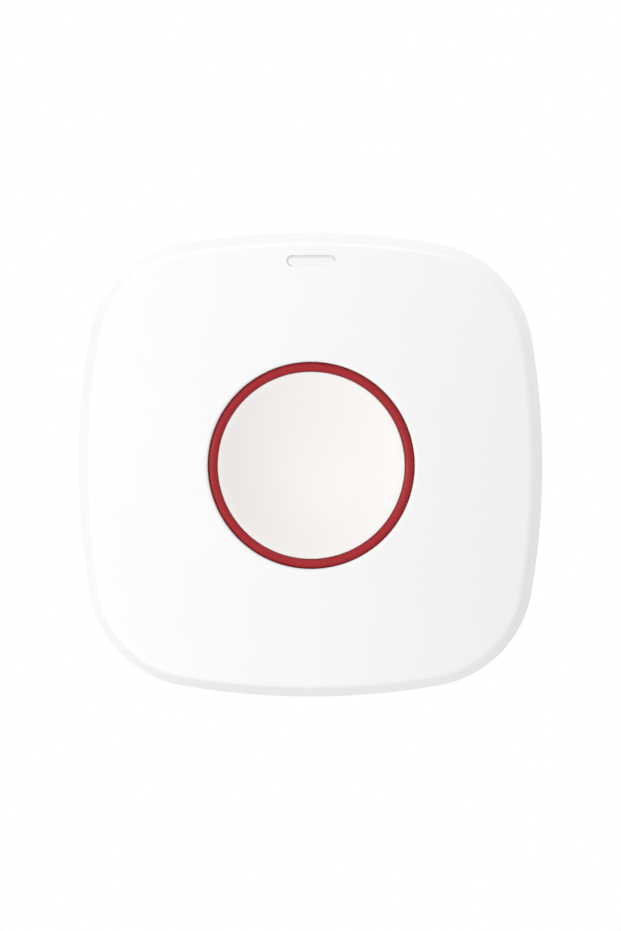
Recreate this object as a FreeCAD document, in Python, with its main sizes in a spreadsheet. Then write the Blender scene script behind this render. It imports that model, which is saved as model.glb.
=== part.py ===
# Wireless panic button, hung on a wall. The frame is the one it hangs in: +X right, +Z up,
# the front faces -Y and the wall is the plane y = 0. Every piece is drawn flat on the wall
# plane, x right and y up, with its depth out of the wall as height, and then stood up.
import FreeCAD, Part
import math
import os

import Sketcher
from FreeCAD import Placement, Rotation, Vector

following = {}


def follows(name, expression):
    """Give a name to a dimension that follows from others."""
    following[name] = expression


# Driving dimensions, in millimetres and degrees. Each goes into the sheet under its name.

# Clearances and joins used all over
seat = 0.05
weld = 0.3
margin = 1.0

# Housing outline: four long bowed sides joined by four corner arcs
body_width = 62.0
side_bow_radius = 100.0
corner_radius = 15.2
side_draft = 6.0
rim_depth = 1.2
cover_wall = 1.8

# Domed face
dome_top = 17.5
dome_radius = 135.0
face_edge = 0.35

# Button opening and the collar behind it
ring_radius = 13.7
ring_width = 1.25
ring_clearance = 0.15
opening_edge = 0.3
collar_wall = 1.35
stop_clearance = 0.1
follows("opening_radius", "ring_radius + ring_clearance")
follows("collar_radius", "opening_radius + collar_wall")

# Button: dished cap with a skirt and flange, red ring, travel
dish_sink = 2.9
dish_depth = 1.7
dish_lip = 0.35
dish_wall = 1.4
skirt_wall = 1.15
skirt_depth = 2.4
flange_overlap = 0.95
flange_thickness = 1.2
button_travel = 0.7
ring_fit = 0.06
ring_sink = 0.9
ring_bead = 0.4
bead_shoulder = 0.2
bead_shoulder_drop = 0.14
bead_crown = 0.3
peg_radius = 0.6
peg_tip = 0.3
lug_width = 2.4
lug_length = 1.8
guide_clearance = 0.3
guide_rib = 0.9
post_radius = 2.3
spring_guide_wall = 0.7
cap_rib = 0.8
cap_rib_rise = 0.6
follows("cap_radius", "ring_radius - ring_width")
follows("dish_radius", "cap_radius - dish_lip")
follows("skirt_inside", "cap_radius - skirt_wall")
follows("dish_floor", "dome_top - dish_sink")
follows("dish_rim", "dish_floor + dish_depth")
follows("dish_under", "dish_floor - dish_wall")
follows("dish_middle", "dish_floor - dish_wall / 2")
follows("dish_arc", "(dish_radius * dish_radius + dish_depth * dish_depth) / (2 * dish_depth)")
follows("flange_bottom", "dish_floor - skirt_depth")
follows("flange_top", "flange_bottom + flange_thickness")
follows("flange_radius", "opening_radius + flange_overlap")
follows("collar_bottom", "flange_top + stop_clearance")
follows("ring_inside", "cap_radius + ring_fit")
follows("ring_top", "dome_top - ring_sink")
follows("ring_bottom", "flange_top + seat")
follows("peg_place", "(ring_inside + ring_radius) / 2")
follows("lug_reach", "flange_radius + lug_length")
follows("guide_reach", "lug_reach + cap_rib")
follows("guide_bottom", "flange_bottom - button_travel")

# Window slot above the button
window_inset = 3.7
window_width = 6.4
window_height = 1.8
window_depth = 5.8
window_recess = 0.35
window_clearance = 0.1
shoulder_width = 7.8
shoulder_clearance = 0.3
foot_width = 4.6
foot_length = 2.4
light_clearance = 0.25
follows("window_place", "body_width / 2 - window_inset")
follows("window_bottom", "dome_top - window_depth")
follows("window_start", "window_bottom + window_clearance")

# Rear cover
foot_inset = 0.8
seam = 0.1
floor_thickness = 1.6
lip_clearance = 0.25
lip_wall = 1.3
lip_height = 1.8
hook_width = 6.0
hook_thickness = 1.2
hook_length = 5.8
hook_clearance = 0.3
hook_relief = 1.0
hook_lead = 0.2
barb_length = 1.8
barb_reach = 0.6
barb_slope = 0.15
catch_clearance = 0.2
wall_hole_radius = 2.1
wall_hole_spacing = 36.0
wall_pad_radius = 3.4
wall_pad_rise = 0.8
floor_rib = 0.9
floor_rib_rise = 1.4
floor_rib_length = 26.0
floor_rib_place = 16.5
floor_rib_side = 23.5
notch_width = 8.0
notch_floor = 0.3
follows("foot_height", "rim_depth - seam")
follows("lip_top", "floor_thickness + lip_height")
follows("lip_inset", "cover_wall + lip_clearance")
follows("hook_top", "rim_depth + hook_length")
follows("wall_inside", "body_width / 2 - cover_wall")
follows("hook_outside", "wall_inside - hook_length * tan(side_draft) - hook_clearance")
follows("hook_inside", "hook_outside - hook_thickness")
follows("barb_bottom", "hook_top - barb_length")
follows("barb_outside", "hook_outside + barb_reach")

# Flat coin cell (CR2450), its holder and contacts
cell_radius = 12.25
cell_thickness = 5.0
cell_lift = 0.4
cell_edge = 0.6
cell_step = 0.45
cell_cap_inset = 1.3
cell_clearance = 0.2
contact_space = 0.8
holder_wall = 1.4
holder_lift = 0.5
holder_ledge = 2.0
holder_pin_radius = 0.5
holder_pin_place = 11.5
finger_width = 10.0
finger_depth = 3.8
contact_thickness = 0.25
contact_width = 5.0
contact_foot = 2.5
clip_end = 5.0
leaf_half_length = 8.0
leaf_half_bend = 3.0
follows("cell_back", "floor_thickness + cell_lift")
follows("cell_front", "cell_back + cell_thickness")
follows("board_back", "cell_front + contact_space")
follows("behind_board", "board_back - seat")
follows("cell_room", "cell_radius + cell_clearance")
follows("holder_radius", "cell_room + holder_wall")
follows("holder_back", "cell_back + holder_lift")
follows("ledge_back", "cell_front + 2 * seat")

# Circuit board, its screws and their bosses
board_edge_clearance = 2.4
board_thickness = 1.0
hole_clearance = 0.2
pin_clearance = 0.1
screw_inset = 11.5
screw_shank_radius = 0.95
screw_head_radius = 1.9
screw_head_height = 1.2
screw_length = 4.6
screw_point = 0.7
screw_point_radius = 0.2
cross_half_width = 0.22
cross_depth = 0.6
boss_radius = 2.6
boss_clearance = 0.1
boss_rib = 0.9
boss_rib_depth = 3.0
pilot_depth = 4.0
follows("board_front", "board_back + board_thickness")
follows("on_board", "board_front + seat")
follows("screw_place", "body_width / 2 - screw_inset")
follows("screw_distance", "screw_place * sqrt(2)")

# Push switch in the middle of the board
switch_width = 6.0
switch_height = 1.9
switch_edge = 0.4
switch_floor = 0.55
plate_inset = 0.1
plate_thickness = 0.2
plunger_radius = 1.55
plunger_clearance = 0.2
plunger_flange = 0.3
plunger_flange_height = 0.4
plunger_length = 1.55
plunger_rise = 0.7
plunger_edge = 0.2
press_slack = 0.4
lead_place = 2.25
lead_width = 0.7
lead_thickness = 0.2
lead_rise = 0.7
lead_reach = 1.3
follows("switch_top", "on_board + switch_height")
follows("plunger_top", "switch_top + plunger_rise")
follows("plunger_bottom", "plunger_top - plunger_length")
follows("post_tip", "plunger_top + press_slack")

# Return spring round the switch
spring_radius = 5.9
spring_wire = 0.25
spring_turns = 3.0
spring_gap = 0.1
follows("spring_length", "dish_under - spring_gap - on_board - 2 * spring_wire")
follows("spring_room", "spring_radius + spring_wire + guide_clearance")
follows("spring_guide", "spring_room + spring_guide_wall")

# Other parts on the board
led_inset = 5.8
led_width = 2.0
led_length = 1.25
led_base = 0.4
led_lens = 0.4
led_lens_width = 1.3
led_edge = 0.15
shield_width = 9.0
shield_length = 12.0
shield_height = 1.8
shield_wall = 0.25
shield_edge = 0.6
shield_inset = 11.2
shield_up = 1.0
shield_hole = 0.45
shield_hole_pitch = 2.0
shield_hole_up = 3.4
chip_side = 7.0
chip_height = 0.9
chip_edge = 0.3
chip_inset = 11.0
chip_up = 3.0
radio_side = 5.0
crystal_width = 3.2
crystal_length = 2.5
crystal_height = 0.8
crystal_edge = 0.4
crystal_down = 4.5
antenna_width = 16.0
antenna_length = 4.0
antenna_height = 3.2
antenna_thickness = 0.3
antenna_slot = 0.8
antenna_slot_pitch = 3.2
antenna_slot_depth = 2.8
antenna_inset = 8.6
small_part_width = 1.6
small_part_length = 0.8
small_part_pitch = 2.4
column_pitch = 2.5
capacitor_height = 0.8
capacitor_across = 12.5
capacitor_down = 7.5
resistor_height = 0.45
resistor_across = 9.5
resistor_down = 6.0
follows("led_place", "body_width / 2 - led_inset")
follows("led_height", "led_base + led_lens")
follows("shield_across", "body_width / 2 - shield_inset")
follows("chip_across", "body_width / 2 - chip_inset")
follows("antenna_place", "body_width / 2 - antenna_inset")
follows("antenna_top", "on_board + antenna_height")
follows("foot_start", "on_board + led_height + light_clearance")

# Tamper switch, held down by a post on the rear cover
tamper_inset = 10.5
tamper_width = 3.6
tamper_height = 1.45
tamper_edge = 0.3
tamper_well = 0.7
tamper_plunger_radius = 0.75
tamper_plunger_rise = 0.4
tamper_plunger_hidden = 0.5
tamper_post_radius = 1.5
follows("tamper_place", "body_width / 2 - tamper_inset")
follows("tamper_face", "behind_board - tamper_height")
follows("tamper_tip", "tamper_face - tamper_plunger_rise")

driving = {name: amount for name, amount in globals().items() if isinstance(amount, float)}
doc = FreeCAD.newDocument("panic_button")
sheet = doc.addObject("Spreadsheet::Sheet", "sizes")
for row, (name, amount) in enumerate(driving.items(), 1):
    sheet.set(f"A{row}", name)
    sheet.set(f"B{row}", str(amount))
    sheet.setAlias(f"B{row}", name)
doc.recompute()


def named(expression):
    """Write an expression with every size name pointed at the sheet, and every name that
    follows from others written out."""
    words = []
    word = ""
    for letter in str(expression) + " ":
        if letter.isalnum() or letter in "_.":
            word += letter
            continue
        if word in following:
            word = f"({named(following[word])})"
        elif word in driving:
            word = "sizes." + word
        words.append(word + letter)
        word = ""
    return "".join(words).strip()


def number(expression):
    """The present amount of an expression."""
    return float(sheet.evalExpression(named(expression)))


def bind(thing, path, expression):
    thing.setExpression(path, named(expression))


def roof_at(radius):
    """The dome's height at a radius from the depth axis, as an expression."""
    return f"(dome_top - dome_radius + sqrt(dome_radius * dome_radius - ({radius}) * ({radius})))"


def new_body(label):
    """A sub-part, drawn flat on the wall plane and stood up by its placement."""
    body = doc.addObject("PartDesign::Body", label)
    body.Label = label
    body.AllowCompound = True
    body.Placement = Placement(Vector(0, 0, 0), Rotation(Vector(1, 0, 0), 90))
    return body


def origin_feature(body, role):
    return next(part for part in body.Origin.OriginFeatures if part.Role == role)


def flat_sketch(body, height="0", across="0", up="0"):
    """A sketch parallel to the wall at a height, its origin shifted across and up."""
    sketch = body.newObject("Sketcher::SketchObject", body.Label + "_flat")
    sketch.AttachmentSupport = [(origin_feature(body, "XY_Plane"), "")]
    sketch.MapMode = "FlatFace"
    bind(sketch, "AttachmentOffset.Base.x", across)
    bind(sketch, "AttachmentOffset.Base.y", up)
    bind(sketch, "AttachmentOffset.Base.z", height)
    return sketch


def section_sketch(body, turn=0.0, across="0", up="0"):
    """A section with x outward and y as depth out of the wall, turned about the depth axis
    and shifted across and up the wall."""
    sketch = body.newObject("Sketcher::SketchObject", body.Label + "_section")
    sketch.AttachmentSupport = [(origin_feature(body, "XZ_Plane"), "")]
    sketch.MapMode = "FlatFace"
    sketch.AttachmentOffset = Placement(Vector(0, 0, 0), Rotation(Vector(0, 1, 0), turn))
    bind(sketch, "AttachmentOffset.Base.x", across)
    bind(sketch, "AttachmentOffset.Base.z", f"-({up})")
    return sketch


def dimension(sketch, expression, kind, *where):
    """Add one dimension to a sketch and bind it."""
    sketch.addConstraint(Sketcher.Constraint(kind, *where, number(expression)))
    bind(sketch, f"Constraints[{sketch.ConstraintCount - 1}]", expression)


def place_point(sketch, edge, end, across, up):
    """Hold a sketch point at two coordinates from the origin."""
    dimension(sketch, across, "DistanceX", -1, 1, edge, end)
    dimension(sketch, up, "DistanceY", -1, 1, edge, end)


def join(sketch, kind, pairs):
    """Join ends of edges: each pair is an edge and its end, and another edge and its end."""
    for edge, end, other, other_end in pairs:
        sketch.addConstraint(Sketcher.Constraint(kind, edge, end, other, other_end))


def on_depth_axis(sketch, *points):
    """Hold points on the sketch's upright axis."""
    for edge, end in points:
        sketch.addConstraint(Sketcher.Constraint("PointOnObject", edge, end, -2))


def circle_at(across, up, radius):
    return Part.Circle(Vector(across, up, 0), Vector(0, 0, 1), radius)


def draw_lines(sketch, corners):
    """Straight edges through corners, left open."""
    for start, end in zip(corners, corners[1:]):
        sketch.addGeometry(Part.LineSegment(start, end), False)


def draw_circle(sketch, radius, across="0", up="0"):
    circle = circle_at(number(across), number(up), number(radius))
    edge = sketch.addGeometry(circle, False)
    dimension(sketch, radius, "Radius", edge)
    place_point(sketch, edge, 3, across, up)


def draw_polygon(sketch, corners):
    """A closed outline through corners, each a pair of expressions."""
    points = [Vector(number(across), number(up), 0) for across, up in corners]
    first = sketch.GeometryCount
    count = len(points)
    draw_lines(sketch, points + points[:1])
    for i in range(count):
        join(sketch, "Coincident", [(first + i, 2, first + (i + 1) % count, 1)])
    for i, (across, up) in enumerate(corners):
        place_point(sketch, first + i, 1, across, up)


def draw_box(sketch, width, height, across="0", up="0"):
    """A rectangle about a centre."""
    left = f"({across}) - ({width}) / 2"
    right = f"({across}) + ({width}) / 2"
    low = f"({up}) - ({height}) / 2"
    high = f"({up}) + ({height}) / 2"
    draw_polygon(sketch, [(left, low), (right, low), (right, high), (left, high)])


def draw_outline(sketch, inset):
    """The housing outline, offset inwards: four bowed sides and four corner arcs."""
    away = number("side_bow_radius - body_width / 2")
    bow = number(f"side_bow_radius - ({inset})")
    corner = number(f"corner_radius - ({inset})")
    apart = bow - corner
    centre = (math.sqrt(2 * apart**2 - away**2) - away) / 2
    swing = math.atan2(centre, centre + away)
    for quarter in range(4):
        turn = quarter * math.pi / 2
        diagonal = turn + math.pi / 4
        reach = centre * math.sqrt(2)
        side = circle_at(-away * math.cos(turn), -away * math.sin(turn), bow)
        bend = circle_at(reach * math.cos(diagonal), reach * math.sin(diagonal), corner)
        bend_end = turn + math.pi / 2 - swing
        sketch.addGeometry(Part.ArcOfCircle(side, turn - swing, turn + swing), False)
        sketch.addGeometry(Part.ArcOfCircle(bend, turn + swing, bend_end), False)
    join(sketch, "Tangent", [(i, 2, (i + 1) % 8, 1) for i in range(8)])
    for i in (2, 4, 6):
        sketch.addConstraint(Sketcher.Constraint("Equal", 0, i))
        sketch.addConstraint(Sketcher.Constraint("Equal", 1, i + 1))
    dimension(sketch, f"side_bow_radius - ({inset})", "Radius", 0)
    dimension(sketch, f"corner_radius - ({inset})", "Radius", 1)
    for side, axis, kind, sign in ((0, -1, "DistanceX", "-"), (4, -1, "DistanceX", ""),
                                   (2, -2, "DistanceY", "-"), (6, -2, "DistanceY", "")):
        sketch.addConstraint(Sketcher.Constraint("PointOnObject", side, 3, axis))
        dimension(sketch, f"{sign}(side_bow_radius - body_width / 2)", kind, -1, 1, side, 3)


def draw_slot(sketch, width, height, up):
    """A window shape: flat top and bottom, half-round ends."""
    half = number(f"({width} - ({height})) / 2")
    radius = number(f"({height}) / 2")
    middle = number(up)
    for side in (1, -1):
        start = -side * math.pi / 2
        end_circle = circle_at(side * half, middle, radius)
        sketch.addGeometry(Part.ArcOfCircle(end_circle, start, start + math.pi), False)
        level = middle + side * radius
        draw_lines(sketch, [Vector(side * half, level, 0), Vector(-side * half, level, 0)])
    join(sketch, "Tangent", [(i, 2, (i + 1) % 4, 1) for i in range(4)])
    dimension(sketch, f"({height}) / 2", "Radius", 0)
    place_point(sketch, 0, 3, f"({width} - ({height})) / 2", up)
    dimension(sketch, f"-({width} - ({height})) / 2", "DistanceX", -1, 1, 2, 3)


def finish_feature(body, feature):
    """Recompute after a feature, stop at once if it failed, and build on it."""
    body.Tip = feature
    doc.recompute()
    if "Invalid" in feature.State or "Error" in feature.State or feature.Shape.isNull():
        raise RuntimeError(f"{feature.Label} failed")
    return feature


def pad(body, sketch, length, draft="0", both_ways=False):
    """Raise a sketch out of the wall, or both ways from its plane."""
    feature = body.newObject("PartDesign::Pad", body.Label + "_pad")
    feature.Profile = sketch
    feature.Midplane = both_ways
    bind(feature, "Length", length)
    bind(feature, "TaperAngle", draft)
    return finish_feature(body, feature)


def pocket(body, sketch, length, upwards=False):
    """Cut a sketch down into the body, or upwards; it must take something away."""
    before = body.Shape.Volume
    feature = body.newObject("PartDesign::Pocket", body.Label + "_pocket")
    feature.Profile = sketch
    feature.Reversed = upwards
    bind(feature, "Length", length)
    finish_feature(body, feature)
    if body.Shape.Volume >= before:
        raise RuntimeError(f"{feature.Label} cut nothing")
    return feature


def turned(body, sketch):
    """Turn a section about the sketch's upright axis."""
    feature = body.newObject("PartDesign::Revolution", body.Label + "_turned")
    feature.Profile = sketch
    feature.ReferenceAxis = (sketch, ["V_Axis"])
    feature.Angle = 360
    return finish_feature(body, feature)


def combine(body, kind, other):
    """Cut another body away from this one, or keep what both have in common."""
    other.Placement = Placement()
    feature = body.newObject("PartDesign::Boolean", body.Label + "_" + kind.lower())
    feature.Type = kind
    feature.setObjects([other])
    return finish_feature(body, feature)


def place_ball(ball, centre_height, radius):
    """Give a ball its radius and centre. Its poles lie level, away from the face."""
    ball.AttachmentSupport = [(origin_feature(ball.getParent(), "XZ_Plane"), "")]
    ball.MapMode = "FlatFace"
    bind(ball, "AttachmentOffset.Base.y", centre_height)
    bind(ball, "Radius", radius)


def keep_under_dome(body, lowered="0"):
    """Keep only what lies under the dome, or under the dome lowered by some amount."""
    inside = new_body(body.Label + "_ball")
    ball = inside.newObject("PartDesign::AdditiveSphere", body.Label + "_ball_form")
    place_ball(ball, "dome_top - dome_radius", f"dome_radius - ({lowered})")
    finish_feature(inside, ball)
    combine(body, "Common", inside)


def around(body, features, count):
    """Repeat features evenly about the depth axis."""
    feature = body.newObject("PartDesign::PolarPattern", body.Label + "_around")
    feature.Originals = features
    feature.Axis = (origin_feature(body, "Z_Axis"), [""])
    feature.Angle = 360
    feature.Occurrences = count
    return finish_feature(body, feature)


def up_the_board(body, features, pitch, count):
    """Repeat features upwards in a row."""
    feature = body.newObject("PartDesign::LinearPattern", body.Label + "_row")
    feature.Originals = features
    feature.Direction = (origin_feature(body, "Y_Axis"), [""])
    bind(feature, "Length", f"({pitch}) * {count - 1}")
    feature.Occurrences = count
    return finish_feature(body, feature)


def dressed(body, kind, amount_name, amount, chosen):
    """Dress the edges of the body that a test picks."""
    base = body.Tip
    names = [f"Edge{i}" for i, edge in enumerate(base.Shape.Edges, 1) if chosen(edge)]
    if not names:
        raise RuntimeError(f"{body.Label} has no edge to dress")
    feature = body.newObject(kind, body.Label + "_edge")
    feature.Base = (base, names)
    bind(feature, amount_name, amount)
    return finish_feature(body, feature)


def rounded(body, radius, chosen):
    return dressed(body, "PartDesign::Fillet", "Radius", radius, chosen)


def bevelled(body, width, chosen):
    return dressed(body, "PartDesign::Chamfer", "Size", width, chosen)


def distance_and_height(edge):
    """How far an edge's middle is from the depth axis, and how high. The point-like edge at
    a dome's pole is on the axis."""
    if edge.Length < 1e-6:
        return 0.0, 0.0
    middle = edge.valueAt((edge.FirstParameter + edge.LastParameter) / 2)
    return math.hypot(middle.x, middle.y), middle.z


def domed_block(body, inset, lowered):
    """The housing's outer form, or the same form inside its wall."""
    outline = flat_sketch(body, "rim_depth")
    draw_outline(outline, inset)
    pad(body, outline, "dome_top - rim_depth", draft="-side_draft")
    keep_under_dome(body, lowered)


def hollow_out(body):
    """Leave the front cover's even wall, open towards the wall it hangs on."""
    inside = new_body("front_cover_inside")
    domed_block(inside, "cover_wall", "cover_wall")
    combine(body, "Cut", inside)


def bevel_face_edge(body):
    """Soften the edge between the side wall and the face."""
    wall_inside = number("wall_inside - window_inset / 2")

    def on_face_edge(edge):
        distance, height = distance_and_height(edge)
        return distance > wall_inside and abs(height - number(roof_at(distance))) < 0.03

    bevelled(body, "face_edge", on_face_edge)


def cut_button_opening(body):
    """Round opening with a soft edge, and the collar behind it that the cap stops against."""
    opening = flat_sketch(body, "dome_top + margin")
    draw_circle(opening, "opening_radius")
    pocket(body, opening, "dome_top - collar_bottom + 2 * margin")
    collar = flat_sketch(body, "collar_bottom")
    draw_circle(collar, "opening_radius")
    draw_circle(collar, "collar_radius")
    pad(body, collar, f"{roof_at('collar_radius')} - cover_wall / 2 - collar_bottom")
    radius = number("opening_radius")
    top = number(roof_at("opening_radius"))

    def on_opening_edge(edge):
        distance, height = distance_and_height(edge)
        return abs(distance - radius) < 0.01 and abs(height - top) < 0.03

    bevelled(body, "opening_edge", on_opening_edge)


def add_screw_bosses(body):
    """Four bosses for the board's screws, each with a rib to the collar and a pilot hole."""
    boss = flat_sketch(body, "on_board")
    draw_circle(boss, "boss_radius", "screw_place", "screw_place")
    far_roof = roof_at("screw_distance + boss_radius")
    boss_pad = pad(body, boss, f"{far_roof} - weld - on_board")
    rib = section_sketch(body, turn=-45.0)
    start = "collar_radius - weld"
    end = "screw_distance - boss_radius + weld"
    start_roof = f"{roof_at(start)} - cover_wall / 2"
    end_roof = f"{roof_at(end)} - cover_wall / 2"
    draw_polygon(rib, [(start, f"{start_roof} - boss_rib_depth"), (end, f"{end_roof} - boss_rib_depth"),
                       (end, end_roof), (start, start_roof)])
    rib_pad = pad(body, rib, "boss_rib", both_ways=True)
    pilot = flat_sketch(body, "on_board")
    draw_circle(pilot, "screw_shank_radius + boss_clearance", "screw_place", "screw_place")
    pilot_hole = pocket(body, pilot, "pilot_depth", upwards=True)
    around(body, [boss_pad, rib_pad, pilot_hole], 4)


def add_button_guides(body):
    """Three pairs of ribs that the cap's lugs slide between."""
    guide = flat_sketch(body, "guide_bottom")
    start = "(collar_radius - weld)"
    across = "lug_width / 2 + guide_clearance + guide_rib / 2"
    for side in ("", "-"):
        draw_box(guide, "guide_rib", f"guide_reach - {start}", f"{side}({across})",
                 f"({start} + guide_reach) / 2")
    roof = roof_at("guide_reach")
    guide_pad = pad(body, guide, f"{roof} - cover_wall / 2 - guide_bottom")
    around(body, [guide_pad], 3)


def make_front_cover():
    """Domed housing: drafted side walls, button opening and collar, window slot, four screw
    bosses with ribs, guides for the button and recesses that the snap hooks catch in."""
    body = new_body("front_cover")
    domed_block(body, "0", "0")
    bevel_face_edge(body)
    hollow_out(body)
    cut_button_opening(body)
    window = flat_sketch(body, "dome_top + margin")
    draw_slot(window, "window_width", "window_height", "window_place")
    pocket(body, window, "dome_top + margin - window_bottom")
    add_screw_bosses(body)
    add_button_guides(body)
    recess = flat_sketch(body, "barb_bottom - catch_clearance")
    draw_box(recess, "2 * margin", "hook_width + 4 * catch_clearance",
             "barb_outside + catch_clearance - margin")
    recess_cut = pocket(body, recess, "barb_length + catch_clearance", upwards=True)
    around(body, [recess_cut], 4)
    return body


def add_snap_hooks(body):
    """Four hooks with outward barbs, each with a slit in the lip on both sides."""
    relief = flat_sketch(body, "lip_top")
    for side in ("", "-"):
        draw_box(relief, "2 * (lip_wall + margin)", "hook_relief", "body_width / 2 - lip_inset",
                 f"{side}(hook_width + hook_relief) / 2")
    relief_cut = pocket(body, relief, "lip_height")
    hook = section_sketch(body)
    tip = "hook_top - catch_clearance"
    draw_polygon(hook, [("hook_inside", "floor_thickness - weld"),
                        ("hook_outside", "floor_thickness - weld"),
                        ("hook_outside", "barb_bottom"),
                        ("barb_outside", "barb_bottom + barb_slope"),
                        ("barb_outside", "barb_bottom + barb_length / 3"),
                        ("hook_outside - hook_lead", tip), ("hook_inside", tip)])
    hook_pad = pad(body, hook, "hook_width", both_ways=True)
    around(body, [relief_cut, hook_pad], 4)


def add_wall_holes(body):
    """Two holes for the wall screws, each through a raised pad."""
    pads = flat_sketch(body, "floor_thickness - weld")
    holes = flat_sketch(body, "floor_thickness + wall_pad_rise")
    for side in ("", "-"):
        draw_circle(pads, "wall_pad_radius", f"{side}wall_hole_spacing / 2")
        draw_circle(holes, "wall_hole_radius", f"{side}wall_hole_spacing / 2")
    pad(body, pads, "wall_pad_rise + weld")
    pocket(body, holes, "floor_thickness + wall_pad_rise")


def make_rear_cover():
    """Flat back: foot flange, floor, locating lip, four snap hooks, wall-screw holes with
    pads, a post for the tamper switch, stiffening ribs and a notch to prise it off."""
    body = new_body("rear_cover")
    foot = flat_sketch(body)
    draw_outline(foot, "foot_inset")
    pad(body, foot, "foot_height")
    lip = flat_sketch(body, "foot_height")
    draw_outline(lip, "lip_inset")
    pad(body, lip, "lip_top - foot_height", draft="-side_draft")
    room = flat_sketch(body, "lip_top")
    draw_outline(room, "lip_inset + lip_wall")
    pocket(body, room, "lip_height")
    add_snap_hooks(body)
    add_wall_holes(body)
    post = flat_sketch(body, "floor_thickness - weld")
    draw_circle(post, "tamper_post_radius", "0", "-tamper_place")
    pad(body, post, "tamper_tip - seat - floor_thickness + weld")
    ribs = flat_sketch(body, "floor_thickness - weld")
    for side in ("", "-"):
        draw_box(ribs, "floor_rib_length", "floor_rib", "0", f"{side}floor_rib_place")
        draw_box(ribs, "floor_rib", "floor_rib_length / 2", f"{side}floor_rib_side")
    pad(body, ribs, "floor_rib_rise + weld")
    notch = flat_sketch(body, "foot_height")
    draw_box(notch, "notch_width", "2 * margin", "0", "-(body_width / 2 - foot_inset)")
    pocket(body, notch, "foot_height - notch_floor")
    return body


def make_button_cap():
    """Dished disc on a skirt, with a flange that stops against the collar, three guide lugs,
    a post over the switch, a ring that centres the spring and six ribs under the dish."""
    body = new_body("button_cap")
    section = section_sketch(body)
    draw_polygon(section, [("0", "dish_under"), ("spring_guide", "dish_under"),
                           ("skirt_inside", "dish_under + dish_depth"),
                           ("skirt_inside", "flange_bottom"), ("flange_radius", "flange_bottom"),
                           ("flange_radius", "flange_top"), ("cap_radius", "flange_top"),
                           ("cap_radius", "dish_rim"), ("0", "dish_rim")])
    turned(body, section)
    dish = body.newObject("PartDesign::SubtractiveSphere", "button_cap_dish")
    place_ball(dish, "dish_floor + dish_arc", "dish_arc")
    finish_feature(body, dish)
    lug = flat_sketch(body, "flange_bottom")
    draw_box(lug, "lug_width", "lug_length + flange_overlap", "0",
             "lug_reach - (lug_length + flange_overlap) / 2")
    lug_pad = pad(body, lug, "flange_thickness")
    hole = flat_sketch(body, "flange_top")
    draw_circle(hole, "peg_radius + ring_fit", "peg_place * cos(30)", "peg_place * sin(30)")
    hole_cut = pocket(body, hole, "flange_thickness + margin")
    around(body, [lug_pad, hole_cut], 3)
    post = flat_sketch(body, "post_tip")
    draw_circle(post, "post_radius")
    pad(body, post, "dish_middle - post_tip")
    guide = flat_sketch(body, "flange_bottom + cap_rib_rise")
    draw_circle(guide, "spring_room")
    draw_circle(guide, "spring_guide")
    pad(body, guide, "dish_middle - flange_bottom - cap_rib_rise")
    rib = flat_sketch(body, "flange_bottom + cap_rib_rise")
    start = "spring_guide - spring_guide_wall / 2"
    end = "skirt_inside + weld"
    draw_box(rib, f"{end} - ({start})", "cap_rib", f"({end} + {start}) / 2")
    rib_pad = pad(body, rib, "dish_middle - flange_bottom")
    around(body, [rib_pad], 6)
    return body


def make_button_ring():
    """Red ring with a bead's crown and shoulders round the cap, held by three pegs in the
    cap's flange."""
    body = new_body("button_ring")
    section = section_sketch(body)
    flank = "ring_top - ring_bead"
    shoulder = "ring_top - bead_shoulder_drop"
    draw_polygon(section, [("ring_inside", "ring_bottom"), ("ring_radius", "ring_bottom"),
                           ("ring_radius", flank), ("ring_radius - bead_shoulder", shoulder),
                           ("peg_place + bead_crown / 2", "ring_top"),
                           ("peg_place - bead_crown / 2", "ring_top"),
                           ("ring_inside + bead_shoulder", shoulder), ("ring_inside", flank)])
    turned(body, section)
    peg = flat_sketch(body, "flange_bottom + peg_tip")
    draw_circle(peg, "peg_radius", "peg_place * cos(30)", "peg_place * sin(30)")
    peg_pad = pad(body, peg, "ring_bottom - flange_bottom - peg_tip + weld")
    around(body, [peg_pad], 3)
    return body


def make_return_spring():
    """Coil spring between the board and the cap, round the switch; six-sided wire."""
    body = new_body("return_spring")
    wire = section_sketch(body)
    middle = "on_board + spring_wire * cos(30)"
    corners = []
    for turn in range(0, 360, 60):
        corners.append((f"spring_radius + spring_wire * cos({turn})",
                        f"{middle} + spring_wire * sin({turn})"))
    draw_polygon(wire, corners)
    coil = body.newObject("PartDesign::AdditiveHelix", "return_spring_coil")
    coil.Profile = wire
    coil.ReferenceAxis = (wire, ["V_Axis"])
    coil.Mode = 0
    bind(coil, "Pitch", "spring_length / spring_turns")
    bind(coil, "Height", "spring_length")
    finish_feature(body, coil)
    return body


def make_light_pipe():
    """Translucent window bar: head in the slot, shoulders under the roof, foot over the
    light on the board. Its face follows the dome, a little below it."""
    body = new_body("light_pipe")
    head = flat_sketch(body, "window_start")
    draw_slot(head, "window_width - 2 * window_clearance",
              "window_height - 2 * window_clearance", "window_place")
    pad(body, head, "window_depth")
    keep_under_dome(body, "window_recess")
    shoulder = flat_sketch(body, "window_start")
    low = "led_place - foot_length / 2 + hole_clearance"
    high = "window_place + hole_clearance"
    draw_box(shoulder, "shoulder_width", f"{high} - ({low})", "0", f"({high} + {low}) / 2")
    pad(body, shoulder,
        f"{roof_at(high)} - cover_wall - shoulder_clearance - window_start")
    foot = flat_sketch(body, "foot_start")
    draw_box(foot, "foot_width", "foot_length", "0", "led_place + hole_clearance")
    pad(body, foot, "window_start + weld - foot_start")
    return body


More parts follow.
